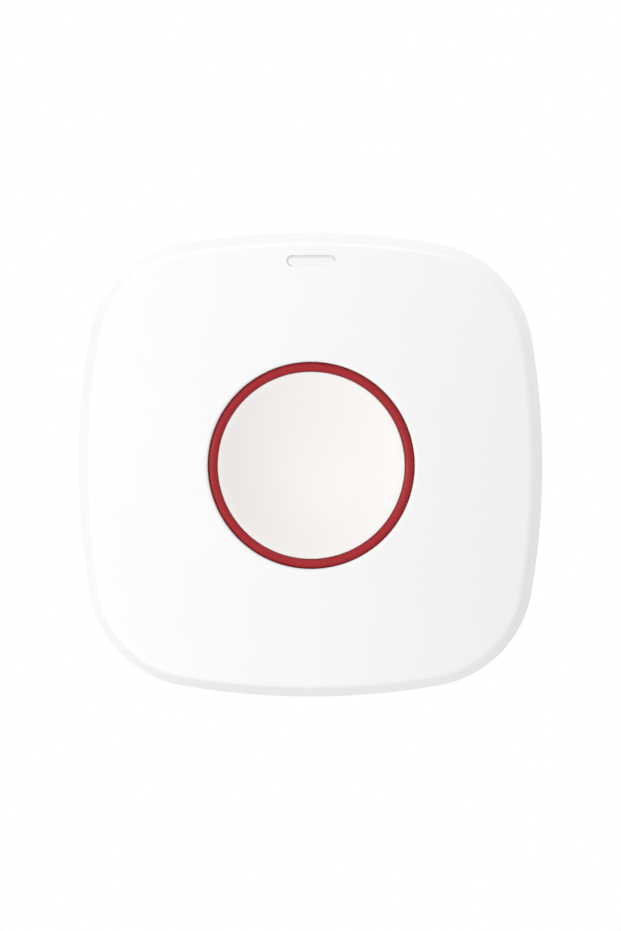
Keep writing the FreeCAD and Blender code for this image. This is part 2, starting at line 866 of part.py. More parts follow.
def make_circuit_board():
    """Board with the housing's outline, four screw holes and two for the holder's pins."""
    body = new_body("circuit_board")
    outline = flat_sketch(body, "board_back")
    draw_outline(outline, "cover_wall + board_edge_clearance")
    pad(body, outline, "board_thickness")
    holes = flat_sketch(body, "board_front")
    for across in ("", "-"):
        for up in ("", "-"):
            draw_circle(holes, "screw_shank_radius + hole_clearance", f"{across}screw_place",
                        f"{up}screw_place")
        draw_circle(holes, "holder_pin_radius + pin_clearance", f"{across}holder_pin_place")
    pocket(body, holes, "board_thickness")
    return body


def make_block(label, width, length, height, edge, across="0", up="0", bottom="on_board"):
    """A plain block that stands on the board, its upright edges rounded."""
    body = new_body(label)
    outline = flat_sketch(body, bottom)
    draw_box(outline, width, length, across, up)
    pad(body, outline, height)
    upright = number(height) * 0.9
    rounded(body, edge, lambda side: side.BoundBox.ZLength > upright)
    return body


def make_switch_body():
    """Push switch: square block with a round well that the plunger sinks in."""
    body = make_block("tact_switch_body", "switch_width", "switch_width", "switch_height",
                      "switch_edge")
    well = flat_sketch(body, "switch_top")
    draw_circle(well, "plunger_radius + plunger_flange + plunger_clearance")
    pocket(body, well, "switch_height - switch_floor")
    return body


def make_switch_plate():
    """Thin metal plate on the switch, with a round hole for the plunger."""
    side = "switch_width - 2 * plate_inset"
    body = make_block("tact_switch_plate", side, side, "plate_thickness", "switch_edge",
                      bottom="switch_top + seat / 2")
    hole = flat_sketch(body, "plunger_top")
    draw_circle(hole, "plunger_radius + plunger_clearance")
    pocket(body, hole, "plunger_length")
    return body


def make_switch_plunger():
    """Round plunger with a flange that stays under the plate."""
    body = new_body("tact_switch_plunger")
    stem = flat_sketch(body, "plunger_bottom")
    draw_circle(stem, "plunger_radius")
    pad(body, stem, "plunger_length")
    flange = flat_sketch(body, "plunger_bottom")
    draw_circle(flange, "plunger_radius + plunger_flange")
    pad(body, flange, "plunger_flange_height")
    top = number("plunger_top")
    bevelled(body, "plunger_edge", lambda edge: edge.BoundBox.ZMin > top - 0.01)
    return body


def make_switch_leads():
    """Four bent strips from the switch down to the board."""
    body = new_body("tact_switch_leads")
    side = "switch_width / 2"
    near = f"{side} + seat"
    bend = f"{side} + lead_reach / 2"
    far = f"{side} + lead_reach"
    strips = []
    for up in ("lead_place", "-lead_place"):
        strip = section_sketch(body, up=up)
        draw_polygon(strip, [(near, "on_board + lead_rise"), (bend, "on_board + lead_rise"),
                             (bend, "on_board + lead_thickness"),
                             (far, "on_board + lead_thickness"), (far, "on_board"),
                             (f"{bend} - lead_thickness", "on_board"),
                             (f"{bend} - lead_thickness", "on_board + lead_rise - lead_thickness"),
                             (near, "on_board + lead_rise - lead_thickness")])
        strips.append(pad(body, strip, "lead_width", both_ways=True))
    around(body, strips, 2)
    return body


def make_status_led():
    """Chip light: base block with a clear lens on top."""
    body = new_body("status_led")
    base = flat_sketch(body, "on_board")
    draw_box(base, "led_width", "led_length", "0", "led_place")
    pad(body, base, "led_base")
    lens = flat_sketch(body, "on_board + led_base")
    draw_box(lens, "led_lens_width", "led_length", "0", "led_place")
    pad(body, lens, "led_lens")
    top = number("on_board + led_height")
    bevelled(body, "led_edge", lambda edge: edge.BoundBox.ZMin > top - 0.01)
    return body


def make_radio_shield():
    """Thin metal can, open towards the board, with three vent holes."""
    body = make_block("radio_shield", "shield_width", "shield_length", "shield_height",
                      "shield_edge", "shield_across", "shield_up")
    inside = flat_sketch(body, "on_board")
    draw_box(inside, "shield_width - 2 * shield_wall", "shield_length - 2 * shield_wall",
             "shield_across", "shield_up")
    pocket(body, inside, "shield_height - shield_wall", upwards=True)
    holes = flat_sketch(body, "on_board + shield_height")
    for step in ("-1", "0", "1"):
        draw_circle(holes, "shield_hole", f"shield_across + ({step}) * shield_hole_pitch",
                    "shield_up + shield_hole_up")
    pocket(body, holes, "shield_wall + seat")
    return body


def make_antenna():
    """Stamped strip that stands on two legs over the board, slotted from both sides in turn."""
    body = new_body("antenna")
    arch = section_sketch(body, up="-antenna_place")
    half = "antenna_width / 2"
    inner = f"{half} - antenna_thickness"
    under = "antenna_top - antenna_thickness"
    draw_polygon(arch, [(half, "on_board"), (half, "antenna_top"), (f"-({half})", "antenna_top"),
                        (f"-({half})", "on_board"), (f"-({inner})", "on_board"),
                        (f"-({inner})", under), (inner, under), (inner, "on_board")])
    pad(body, arch, "antenna_length", both_ways=True)
    slots = flat_sketch(body, "antenna_top", up="-antenna_place")
    for step in (-2, -1, 0, 1, 2):
        side = "-" if step % 2 else ""
        draw_box(slots, "antenna_slot", "antenna_slot_depth", f"({step}) * antenna_slot_pitch",
                 f"{side}(antenna_length - antenna_slot_depth + seat) / 2")
    pocket(body, slots, "antenna_thickness + seat")
    return body


def make_small_parts(label, across, down, height):
    """Equal small chip parts on the board, in two columns of four."""
    body = new_body(label)
    bottom_row = flat_sketch(body, "on_board")
    for column in ("0", "column_pitch"):
        draw_box(bottom_row, "small_part_width", "small_part_length",
                 f"{across} + {column}", f"-{down}")
    first = pad(body, bottom_row, height)
    up_the_board(body, [first], "small_part_pitch", 4)
    return body


def make_battery_holder():
    """Round wall and ledge that hold the cell behind the board, with a finger opening and
    two pins into the board."""
    body = new_body("battery_holder")
    wall = flat_sketch(body, "holder_back")
    draw_circle(wall, "holder_radius")
    draw_circle(wall, "cell_room")
    pad(body, wall, "behind_board - holder_back")
    ledge = flat_sketch(body, "ledge_back")
    draw_circle(ledge, "cell_room + weld")
    draw_circle(ledge, "cell_room - holder_ledge")
    pad(body, ledge, "behind_board - ledge_back")
    finger = flat_sketch(body, "holder_back")
    draw_box(finger, "finger_width", "2 * holder_wall + margin", "0", "holder_radius")
    pocket(body, finger, "finger_depth", upwards=True)
    pins = flat_sketch(body, "ledge_back")
    for side in ("", "-"):
        draw_circle(pins, "holder_pin_radius", f"{side}holder_pin_place")
    pad(body, pins, "board_front - ledge_back - hole_clearance")
    return body


def make_coin_cell():
    """Flat round cell: wide can with a bevelled back edge, narrower cap towards the board."""
    body = new_body("coin_cell")
    section = section_sketch(body)
    step = "cell_front - cell_step"
    draw_polygon(section, [("0", "cell_back"), ("cell_radius - cell_edge", "cell_back"),
                           ("cell_radius", "cell_back + cell_edge"),
                           ("cell_radius", f"{step} - cell_edge / 2"),
                           ("cell_radius - cell_edge / 2", step),
                           ("cell_radius - cell_cap_inset + cell_step / 2", step),
                           ("cell_radius - cell_cap_inset", "cell_front"), ("0", "cell_front")])
    turned(body, section)
    return body


def make_positive_contact():
    """Sprung strip: foot on the board, riser past the holder, arm over the cell's back."""
    body = new_body("positive_contact")
    section = section_sketch(body, turn=-90.0)
    near = "holder_radius + cell_clearance"
    arm = "cell_back - seat"
    foot = "behind_board - contact_thickness"
    draw_polygon(section, [(f"{near} + contact_foot", foot),
                           (f"{near} + contact_foot", "behind_board"), (near, "behind_board"),
                           (near, arm), ("clip_end", arm), ("clip_end", f"{arm} - contact_thickness"),
                           (f"{near} + contact_thickness", f"{arm} - contact_thickness"),
                           (f"{near} + contact_thickness", foot)])
    pad(body, section, "contact_width", both_ways=True)
    return body


def make_negative_contact():
    """Leaf between the board and the cell, bent to press on the cell's cap."""
    body = new_body("negative_contact")
    section = section_sketch(body)
    under = "behind_board - contact_thickness"
    touch = "cell_front + seat"
    draw_polygon(section, [("-leaf_half_length", "behind_board"), ("-leaf_half_bend", "behind_board"),
                           ("0", f"{touch} + contact_thickness"), ("leaf_half_bend", "behind_board"),
                           ("leaf_half_length", "behind_board"), ("leaf_half_length", under),
                           ("leaf_half_bend + seat", under), ("0", touch),
                           ("-leaf_half_bend - seat", under), ("-leaf_half_length", under)])
    pad(body, section, "contact_width", both_ways=True)
    return body


def make_board_screws():
    """Four equal self-tapping screws that hold the board to the front cover's bosses."""
    body = new_body("board_screws")
    section = section_sketch(body, across="screw_place", up="screw_place")
    low = "behind_board - screw_head_height"
    tip = "behind_board + screw_length"
    draw_polygon(section, [("0", low), ("screw_head_radius", low),
                           ("screw_head_radius", "behind_board"),
                           ("screw_shank_radius", "behind_board"),
                           ("screw_shank_radius", f"{tip} - screw_point"),
                           ("screw_point_radius", tip), ("0", tip)])
    screw = turned(body, section)
    cross = flat_sketch(body, low, across="screw_place", up="screw_place")
    arm = "screw_head_radius * 0.5"
    slim = "cross_half_width"
    draw_polygon(cross, [(arm, f"-{slim}"), (arm, slim), (slim, slim), (slim, arm),
                         (f"-{slim}", arm), (f"-{slim}", slim), (f"-{arm}", slim),
                         (f"-{arm}", f"-{slim}"), (f"-{slim}", f"-{slim}"),
                         (f"-{slim}", f"-{arm}"), (slim, f"-{arm}"), (slim, f"-{slim}")])
    recess = pocket(body, cross, "cross_depth", upwards=True)
    around(body, [screw, recess], 4)
    return body


def make_tamper_switch_body():
    """Small switch behind the board, its well open towards the rear cover's post."""
    body = make_block("tamper_switch_body", "tamper_width", "tamper_width", "tamper_height",
                      "tamper_edge", "0", "-tamper_place", "tamper_face")
    well = flat_sketch(body, "tamper_face", up="-tamper_place")
    draw_circle(well, "tamper_plunger_radius + pin_clearance")
    pocket(body, well, "tamper_well", upwards=True)
    return body


def make_tamper_plunger():
    """Pin that the post holds down while the housing is shut."""
    body = new_body("tamper_plunger")
    stem = flat_sketch(body, "tamper_tip", up="-tamper_place")
    draw_circle(stem, "tamper_plunger_radius")
    pad(body, stem, "tamper_plunger_rise + tamper_plunger_hidden")
    return body


pieces = [
    make_front_cover(),
    make_rear_cover(),
    make_button_cap(),
    make_button_ring(),
    make_return_spring(),
    make_light_pipe(),
    make_circuit_board(),
    make_switch_body(),
    make_switch_plate(),
    make_switch_plunger(),
    make_switch_leads(),
    make_status_led(),
    make_block("microcontroller", "chip_side", "chip_side", "chip_height", "chip_edge",
               "-chip_across", "chip_up"),
    make_block("radio_chip", "radio_side", "radio_side", "chip_height", "chip_edge",
               "shield_across", "shield_up - margin"),
    make_radio_shield(),
    make_block("crystal", "crystal_width", "crystal_length", "crystal_height", "crystal_edge",
               "-chip_across", "-crystal_down"),
    make_antenna(),
    make_small_parts("capacitors", "-capacitor_across", "capacitor_down", "capacitor_height"),
    make_small_parts("resistors", "resistor_across", "resistor_down", "resistor_height"),
    make_battery_holder(),
    make_coin_cell(),
    make_positive_contact(),
    make_negative_contact(),
    make_board_screws(),
    make_tamper_switch_body(),
    make_tamper_plunger(),
]

doc.recompute()
for thing in doc.Objects:
    if "Invalid" in thing.State or "Error" in thing.State:
        raise RuntimeError(f"{thing.Label} failed")
for body in pieces:
    if body.Shape.isNull() or not body.Shape.isValid() or not body.Shape.Solids:
        raise RuntimeError(f"{body.Label} has no sound solid")

os.makedirs("parts", exist_ok=True)
for body in pieces:
    body.Shape.exportStep(f"parts/{body.Label}.step")
    print(f"{body.Label}: {len(body.Shape.Solids)} solids, {body.Shape.Volume:.1f} mm3")
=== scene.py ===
# %% [markdown]
# # A wireless panic button, dressed for its portrait
#
# The solids of this object are fixed. They were drawn elsewhere, and this file loads them as
# a frame: a square white housing with bowed sides, a dished button in a red ring, a small
# light window above it, and everything that works inside. What is made here is what the eye
# meets: the fine outer forms, the finishes, the light and the camera.
#
# The frame hangs on a wall. +X is to the right and +Z is up, as seen from the room, and the
# button faces -Y. Lengths are in metres.

# %% Load the frame
import math

import bmesh
import bpy
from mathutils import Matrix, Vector


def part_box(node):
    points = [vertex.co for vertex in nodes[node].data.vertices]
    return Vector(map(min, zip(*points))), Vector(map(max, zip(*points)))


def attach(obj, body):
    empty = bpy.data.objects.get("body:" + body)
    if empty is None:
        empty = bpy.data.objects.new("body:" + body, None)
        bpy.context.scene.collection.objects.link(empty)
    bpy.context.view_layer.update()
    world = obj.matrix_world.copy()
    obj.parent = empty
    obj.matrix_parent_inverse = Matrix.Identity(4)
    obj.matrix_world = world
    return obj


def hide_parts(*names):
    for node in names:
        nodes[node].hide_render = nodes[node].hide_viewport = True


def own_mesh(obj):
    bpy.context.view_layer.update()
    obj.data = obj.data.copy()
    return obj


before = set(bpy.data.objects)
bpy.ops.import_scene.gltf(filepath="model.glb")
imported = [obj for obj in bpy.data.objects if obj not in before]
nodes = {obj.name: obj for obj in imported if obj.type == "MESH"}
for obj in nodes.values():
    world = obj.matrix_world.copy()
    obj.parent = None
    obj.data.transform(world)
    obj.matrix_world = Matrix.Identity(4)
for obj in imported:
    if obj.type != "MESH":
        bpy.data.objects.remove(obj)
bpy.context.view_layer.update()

MM = 0.001

# %% [markdown]
# The few sizes that the new pieces need come first. Whatever the frame can tell is read from
# it: the width of the housing, how far the cap and the ring stand out, where the window is.
# The rest are the radii and angles that a draughtsman would write on the drawing. Depth is
# counted out of the wall, so it is minus Y.

# %% Sizes
cover_low, cover_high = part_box("front_cover")
cap_low, cap_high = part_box("button_cap")
ring_low, ring_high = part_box("button_ring")

HALF_WIDTH = cover_high.x
SIDE_BOW = 100.0 * MM
CORNER = 15.2 * MM
DRAFT = math.tan(math.radians(6.0))
RIM_DEPTH = -cover_high.y
WALL = 1.8 * MM

OPENING = ring_high.x + 0.05 * MM
DOME = 135.0 * MM
FACE_AT_OPENING = -cover_low.y
DOME_TOP = FACE_AT_OPENING + DOME - math.sqrt(DOME**2 - OPENING**2)
COLLAR = OPENING + 1.35 * MM
COLLAR_BOTTOM = DOME_TOP - 4.0 * MM

RING_WIDTH = 1.25 * MM
CAP_RADIUS = ring_high.x - RING_WIDTH
CAP_RIM = -cap_low.y
CAP_BOTTOM = -cap_high.y
print("housing", round(2 * HALF_WIDTH / MM, 2), "mm wide, its dome's top",
      round(DOME_TOP / MM, 2), "mm from the wall")

# %% [markdown]
# Every modelling step below is one that a hand would make in edit mode. Two habits keep such
# a script safe. Everything is deselected before a new primitive is added, because an operator
# acts on whatever is selected. And faces and edges are then picked by where they are.


# %% Helpers for modelling
def start(add, name, **settings):
    """Add a primitive with nothing else selected, name it and go into edit mode."""
    bpy.ops.object.select_all(action="DESELECT")
    add(**settings)
    piece = bpy.context.object
    piece.name = name
    piece.data.name = name
    bpy.ops.object.mode_set(mode="EDIT")
    return piece


def pick_edges(piece, test):
    """Select only the edges that a test picks."""
    bpy.ops.mesh.select_mode(type="EDGE")
    bpy.ops.mesh.select_all(action="DESELECT")
    mesh = bmesh.from_edit_mesh(piece.data)
    for edge in mesh.edges:
        edge.select_set(test(edge))
    bmesh.update_edit_mesh(piece.data)


def is_open(edge):
    """Whether an edge has a face on one side alone."""
    return edge.is_boundary


def pull_ring(piece, place):
    """Extrude the selected ring of edges, and lay each new vertex where place says."""
    bpy.ops.mesh.extrude_edges_move()
    mesh = bmesh.from_edit_mesh(piece.data)
    for vertex in mesh.verts:
        if vertex.select:
            vertex.co = place(math.atan2(vertex.co.y, vertex.co.x))
    bmesh.update_edit_mesh(piece.data)


def close_ends(piece):
    """Bridge the first and the last ring, so that the wall is closed all round."""
    pick_edges(piece, is_open)
    bpy.ops.mesh.bridge_edge_loops()


def stand_up(piece, smooth_below=30.0):
    """Leave edit mode, turn the piece to face the room, smooth all but its sharp edges."""
    bpy.ops.mesh.select_all(action="SELECT")
    bpy.ops.mesh.normals_make_consistent(inside=False)
    bpy.ops.object.mode_set(mode="OBJECT")
    piece.rotation_euler = (math.pi / 2, 0.0, 0.0)
    bpy.ops.object.transform_apply(location=True, rotation=True, scale=True)
    bpy.ops.object.shade_smooth_by_angle(angle=math.radians(smooth_below))
    print(piece.name, "has", len(piece.data.polygons), "faces")


helpers = (start, pick_edges, is_open, pull_ring, close_ends, stand_up)
print("helpers:", ", ".join(helper.__name__ for helper in helpers))

# %% [markdown]
# The housing seen from the front is neither a square nor a circle. Four long shallow arcs
# make its sides and four tight arcs its corners, each tangent to the next. A function that
# gives the outline's distance from the centre, for any direction, is enough to draw every
# ring of the cover: the side walls are the same outline drawn a little smaller. Where the
# leaning wall meets the dome has no plain formula, so a dozen rounds of guessing close in.

# %% The outline of the housing
ROUNDS = 12


def outline_reach(direction, inset):
    """How far the outline lies from the centre in a direction, after a move inwards."""
    bow_back = SIDE_BOW - HALF_WIDTH
    apart = SIDE_BOW - CORNER
    corner_middle = (math.sqrt(2 * apart**2 - bow_back**2) - bow_back) / 2
    swing = math.atan2(corner_middle, corner_middle + bow_back)
    side = SIDE_BOW - inset
    corner = CORNER - inset
    quarter = math.pi / 2
    folded = abs((direction + quarter / 2) % quarter - quarter / 2)
    meeting = math.atan2(side * math.sin(swing), side * math.cos(swing) - bow_back)
    if folded < meeting:
        across = bow_back * math.sin(folded)
        return math.sqrt(side**2 - across**2) - bow_back * math.cos(folded)
    along = corner_middle * (math.cos(folded) + math.sin(folded))
    across = corner_middle * (math.cos(folded) - math.sin(folded))
    return along + math.sqrt(corner**2 - across**2)


def dome_depth(reach, lowered=0.0):
    """How far the dome stands out of the wall at a distance from the centre."""
    radius = DOME - lowered
    return DOME_TOP - DOME + math.sqrt(radius**2 - reach**2)


def at(direction, reach, depth):
    """The place in a direction, at a distance from the centre and from the wall."""
    return Vector((reach * math.cos(direction), reach * math.sin(direction), depth))


def wall_meets_dome(direction, inset=0.0, lowered=0.0):
    """The inset at which the leaning wall meets the dome in a direction."""
    meeting = inset
    for _ in range(ROUNDS):
        depth = dome_depth(outline_reach(direction, meeting), lowered)
        meeting = inset + (depth - RIM_DEPTH) * DRAFT
    return meeting


print("the outline reaches", round(outline_reach(math.pi / 4, 0.0) / MM, 2),
      "mm from the centre to a corner")

# %% [markdown]
# The front cover is a moulding with an even wall, and its walls lean inwards a little so
# that it leaves the mould. It could be cut from a block with booleans, but then the gentle
# dome would be a web of slivers that shade badly. Instead one ring of edges is pulled along
# the whole section, as a potter pulls a wall: up the opening, out over the dome, down the
# side, round the rim and back up inside. Every face is a clean quad.
#
# The three functions below each return a function: pull_ring calls it for each vertex, with
# the vertex's direction, and lays the vertex where it says.

# %% Front cover: pull the wall
RING_STEPS = 384
DOME_RINGS = 22
cover = start(bpy.ops.mesh.primitive_circle_add, "housing_front", vertices=RING_STEPS,
              radius=OPENING, location=(0, 0, 0))
bpy.ops.mesh.select_all(action="SELECT")
bpy.ops.transform.translate(value=(0, 0, COLLAR_BOTTOM))


def over_dome(share, inset, lowered, inner):
    """A ring on the dome, a share of the way from the inner radius to the side wall."""

    def place(direction):
        edge = outline_reach(direction, wall_meets_dome(direction, inset, lowered))
        reach = inner + share * (edge - inner)
        return at(direction, reach, dome_depth(reach, lowered))

    return place


def down_wall(share, inset, lowered):
    """A ring on the side wall, a share of the way from the dome's edge down to the rim."""

    def place(direction):
        top = wall_meets_dome(direction, inset, lowered)
        here = top + share * (inset - top)
        depth = RIM_DEPTH + (here - inset) / DRAFT
        return at(direction, outline_reach(direction, here), depth)

    return place


def circle(reach, depth):
    """A plain round ring."""
    return lambda direction: at(direction, reach, depth)


print(cover.name, "starts as a ring of", RING_STEPS, "edges")

# %% [markdown]
# The outer skin comes first: a ring up the opening's wall, rings over the dome and rings down
# the side. Then the wall turns at the rim and runs back inside, with half as many rings,
# because the inner side is never seen, and a collar guides the button. Bridging the last ring
# to the first closes it.

# %% Front cover: the outer skin, then the inner one
DOWN_THE_WALL = (0.12, 0.5, 0.9, 1.0)
pull_ring(cover, circle(OPENING, dome_depth(OPENING)))
for step in range(1, DOME_RINGS + 1):
    pull_ring(cover, over_dome(step / DOME_RINGS, 0.0, 0.0, OPENING))
for share in DOWN_THE_WALL:
    pull_ring(cover, down_wall(share, 0.0, 0.0))
pull_ring(cover, down_wall(1.0, WALL, WALL))
pull_ring(cover, down_wall(0.0, WALL, WALL))
for step in range(DOME_RINGS - 1, -1, -2):
    pull_ring(cover, over_dome(step / DOME_RINGS, WALL, WALL, COLLAR))
pull_ring(cover, circle(COLLAR, dome_depth(COLLAR, WALL)))
pull_ring(cover, circle(COLLAR, COLLAR_BOTTOM))
close_ends(cover)
print("cover:", len(bmesh.from_edit_mesh(cover.data).faces), "quads in", RING_STEPS, "columns")

# %% [markdown]
# A moulded edge is never sharp. Three rings of edges get a small round: the mouth of the
# opening, the long line where the face turns into the side wall, and the rim. Each ring is
# found by its place: an edge is picked when both its ends lie on the line.

# %% Front cover: round its edges
TOUCH = 1e-6
COVER_SMOOTH = 40.0
MOUTH_ROUND = 0.4 * MM
FACE_ROUND = 0.55 * MM
RIM_ROUND = 0.15 * MM


def round_ring(piece, on_line, width, segments):
    """Bevel the edges whose ends both lie on a line."""
    pick_edges(piece, lambda edge: all(on_line(vertex.co) for vertex in edge.verts))
    bpy.ops.mesh.bevel(offset=width, offset_type="OFFSET", segments=segments, profile=0.5)


def on_mouth(end):
    return abs(end.z - dome_depth(OPENING)) < TOUCH and end.xy.length < OPENING + TOUCH


def on_face_edge(end):
    direction = math.atan2(end.y, end.x)
    reach = outline_reach(direction, wall_meets_dome(direction))
    return abs(end.xy.length - reach) < TOUCH and abs(end.z - dome_depth(reach)) < TOUCH


def on_rim(end):
    reach = outline_reach(math.atan2(end.y, end.x), 0.0)
    return abs(end.z - RIM_DEPTH) < TOUCH and abs(end.xy.length - reach) < TOUCH


round_ring(cover, on_mouth, MOUTH_ROUND, 4)
round_ring(cover, on_face_edge, FACE_ROUND, 5)
round_ring(cover, on_rim, RIM_ROUND, 3)
stand_up(cover, COVER_SMOOTH)

# %% [markdown]
# The light window sits in a slot with half-round ends. A cutter of that shape is a cube whose
# four upright edges are rounded until the ends are very nearly half circles: a full one would
# lay two edges on each other. The dome leans at the slot, so a bar is cut off along the
# dome's surface. From there it can be pushed further out and made wider, or narrower.

# %% A bar for the light slot
SLOT_MIDDLE = 27.2 * MM
SLOT_WIDTH = 6.5 * MM
SLOT_HEIGHT = 1.45 * MM
slope = math.asin(SLOT_MIDDLE / DOME)
outwards = Vector((0, math.sin(slope), math.cos(slope)))
upwards = Vector((0, math.cos(slope), -math.sin(slope)))
slot_face = Vector((0, SLOT_MIDDLE, dome_depth(SLOT_MIDDLE)))
NEARLY_ROUND = 0.999


def slot_bar(name, width, height, low, below):
    """A bar with half-round ends, cut off parallel to the dome and some way below it."""
    tall = DOME_TOP - low
    bar = start(bpy.ops.mesh.primitive_cube_add, name, size=1.0, location=(0, 0, 0))
    bpy.ops.mesh.select_all(action="SELECT")
    bpy.ops.transform.resize(value=(width, height, tall))
    bpy.ops.transform.translate(value=(0, SLOT_MIDDLE, low + tall / 2))
    pick_edges(bar, lambda edge: abs(edge.verts[0].co.z - edge.verts[1].co.z) > tall / 2)
    bpy.ops.mesh.bevel(offset=height / 2 * NEARLY_ROUND, offset_type="OFFSET", segments=12,
                       profile=0.5)
    bpy.ops.mesh.select_all(action="SELECT")
    bpy.ops.mesh.bisect(plane_co=slot_face - below * outwards, plane_no=outwards,
                        use_fill=True, clear_outer=True)
    return bar


def pick_end(piece):
    """Select the face at a bar's outer end, and return its middle."""
    bpy.ops.mesh.select_mode(type="FACE")
    bpy.ops.mesh.select_all(action="DESELECT")
    mesh = bmesh.from_edit_mesh(piece.data)
    end = max(mesh.faces, key=lambda face: face.calc_center_median().dot(outwards))
    end.select_set(True)
    middle = end.calc_center_median()
    bmesh.update_edit_mesh(piece.data)
    return middle


def flare(piece, rise, growth, aside=Vector((0, 0, 0))):
    """Push a bar's end out and widen it on each side, about its middle or a point aside."""
    bpy.ops.mesh.extrude_region_move(TRANSFORM_OT_translate={"value": rise})
    middle = pick_end(piece)
    wider = 1 + 2 * growth / SLOT_WIDTH
    taller = 1 + 2 * growth / SLOT_HEIGHT
    bpy.ops.transform.resize(value=(wider, taller, taller), center_override=middle + aside)


print("the dome leans", round(math.degrees(slope), 1), "degrees at the slot")

# %% [markdown]
# Just below the surface the cutter flares in two small steps, so the boolean leaves a softly
# broken edge and not a knife edge. Each step is a rise and a growth, as shares of the mouth's
# depth, and the last one goes straight out, so that the cut goes right through. The cut
# leaves its new edges smooth, so the shading is set once more, and a Weighted Normal modifier
# keeps the large faces beside the slot even to the eye.

# %% Front cover: cut the light slot
CUT_DEPTH = 8.0 * MM
MOUTH = 0.08 * MM
MOUTH_STEPS = ((0.88, 0.82), (0.12, 0.25), (8.0, 0.0))
AREA_WEIGHT = 90


def use(piece, kind, **settings):
    """Add a modifier, set it up and apply it."""
    bpy.ops.object.select_all(action="DESELECT")
    bpy.context.view_layer.objects.active = piece
    piece.select_set(True)
    modifier = piece.modifiers.new(kind.lower(), kind)
    for name, value in settings.items():
        setattr(modifier, name, value)
    bpy.ops.object.modifier_apply(modifier=modifier.name)


cutter = slot_bar("slot_cutter", SLOT_WIDTH, SLOT_HEIGHT, DOME_TOP - CUT_DEPTH, MOUTH)
pick_end(cutter)
for rise, growth in MOUTH_STEPS:
    flare(cutter, rise * MOUTH * outwards, growth * MOUTH)
stand_up(cutter)
use(cover, "BOOLEAN", object=cutter, operation="DIFFERENCE", solver="EXACT")
bpy.data.objects.remove(cutter)
bpy.ops.object.shade_smooth_by_angle(angle=math.radians(COVER_SMOOTH))
use(cover, "WEIGHTED_NORMAL", keep_sharp=True, weight=AREA_WEIGHT)
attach(cover, "housing")
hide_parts("front_cover")
print("front cover:", len(cover.data.polygons), "faces after the cut")

# %% [markdown]
# The window itself is a frosted bar that carries the light of a small lamp on the board. It
# is a push fit in its slot, a hair larger than the hole, and its face lies a tenth of a
# millimetre below the dome. The photograph shows a soft dark line along the top and round the
# left end alone, so the bar's nose is not centred: it is smaller than the slot, sits in its
# lower right corner, and leaves a groove at the top and the left. The cutter's own flare makes
# the nose, with a negative growth and its still point in that corner.

# %% Light window
PUSH_FIT = 0.01 * MM
RECESS = 0.10 * MM
GROOVE = 0.36 * MM
GROOVE_DEPTH = 0.3 * MM
NOSE_ROUND = 0.04 * MM
window_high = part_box("light_pipe")[1]
window = slot_bar("light_window", SLOT_WIDTH + 2 * PUSH_FIT, SLOT_HEIGHT + 2 * PUSH_FIT,
                  -window_high.y, RECESS + GROOVE_DEPTH)
pick_end(window)
corner = Vector((SLOT_WIDTH / 2, 0, 0)) - SLOT_HEIGHT / 2 * upwards
flare(window, Vector((0, 0, GROOVE_DEPTH)), -GROOVE / 2, corner)
bpy.ops.mesh.bevel(offset=NOSE_ROUND, offset_type="OFFSET", segments=2, profile=0.5)
stand_up(window)
use(window, "WEIGHTED_NORMAL", keep_sharp=True, weight=AREA_WEIGHT)
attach(window, "housing")
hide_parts("light_pipe")

# %% [markdown]
# The button is turned, so one profile pulled round a circle makes it. Its face is a shallow
# dish that the thumb finds by itself: a dish darkens on the side nearest the light and
# brightens on the far side, the opposite of a dome, and that is how the photograph tells us
# which of the two it is. The dish is nearly flat in the middle and steeper towards its rim,
# which a power of the radius between 2 and 3 gives.

# %% Button cap: the sizes of its section
DISH_DEPTH = 2.2 * MM
DISH_CURVE = 2.4
LIP = 0.24 * MM
LIP_ROUND = LIP / 2
DISH_RADIUS = CAP_RADIUS - LIP
DISH_FLOOR = CAP_RIM - DISH_DEPTH
UNDERSIDE = CAP_RIM - 3.1 * MM
UNDERSIDE_FLAT = 0.6
SKIRT_INSIDE = CAP_RADIUS - 1.15 * MM
SKIRT_TOP = CAP_RIM - 2.0 * MM
FLANGE_THICK = 1.2 * MM
FLANGE_RAISED = 0.25 * MM
FLANGE_TOP = CAP_BOTTOM + FLANGE_THICK + FLANGE_RAISED
FLANGE_REACH = OPENING + 0.95 * MM
POLE_RING = 0.4 * MM
print("dish", round(2 * DISH_RADIUS / MM, 2), "mm across and", DISH_DEPTH / MM, "mm deep")

# %% [markdown]
# The profile starts under the cap, near the axis. It runs out to the skirt, down and round
# the stop flange that keeps the cap in the housing, up the outside, over the rounded lip and
# along the dish back to the axis. Both ends are then gathered in a pole.

# %% Button cap: turn its section round the axis
TURN_STEPS = 192
LIP_STEPS = 6
DISH_RINGS = 16


def turned(name, profile):
    """Pull a profile of (reach, depth) round a circle."""
    reach, depth = profile[0]
    piece = start(bpy.ops.mesh.primitive_circle_add, name, vertices=TURN_STEPS, radius=reach,
                  location=(0, 0, 0))
    bpy.ops.mesh.select_all(action="SELECT")
    bpy.ops.transform.translate(value=(0, 0, depth))
    for reach, depth in profile[1:]:
        pull_ring(piece, circle(reach, depth))
    return piece


def close_pole():
    """Close the selected ring on the axis with a fan of triangles."""
    bpy.ops.mesh.extrude_edges_move()
    bpy.ops.mesh.merge(type="COLLAPSE")


def dish(reach):
    """The dish's depth: nearly flat in the middle, steeper towards its rim."""
    return DISH_FLOOR + DISH_DEPTH * (reach / DISH_RADIUS) ** DISH_CURVE


